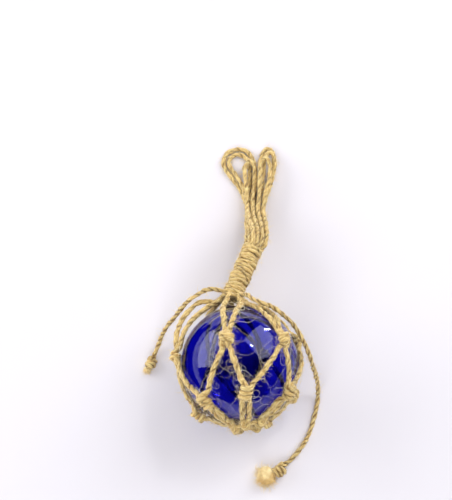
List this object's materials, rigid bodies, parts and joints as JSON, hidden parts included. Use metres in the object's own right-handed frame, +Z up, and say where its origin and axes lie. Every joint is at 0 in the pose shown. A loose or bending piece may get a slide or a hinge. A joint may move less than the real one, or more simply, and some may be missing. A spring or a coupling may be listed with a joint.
{
  "type": "glass float ball",
  "caption": "Sealed glass float ball in a knotted jute net, lying on its side, with a wound neck, hanging loops and loose cord tails.",
  "frame": {"origin": "on the table, in the middle of the flattened underside of the net's rear knot, close to straight under the ball", "axes": "+Z up from the table; +Y along the object, from the ball towards the hanging loops; +X to the right when it is seen from above with the loops pointing away"},
  "size_m": [0.1177, 0.2356, 0.0812],
  "materials": {
    "glass": "clear deep cobalt blue, glossy",
    "jute": "natural jute twine, two-ply, hairy and matt"
  },
  "bodies": {
    "root": {"glass_ball": "glass", "net": "jute", "whipping": "jute", "loop_1": "jute", "loop_2": "jute", "loop_3": "jute", "loop_4": "jute", "loop_5": "jute", "loop_6": "jute", "tail_right": "jute", "tail_right_knot": "jute", "tail_left": "jute", "tail_left_knot": "jute"}
  },
  "joints": []
}
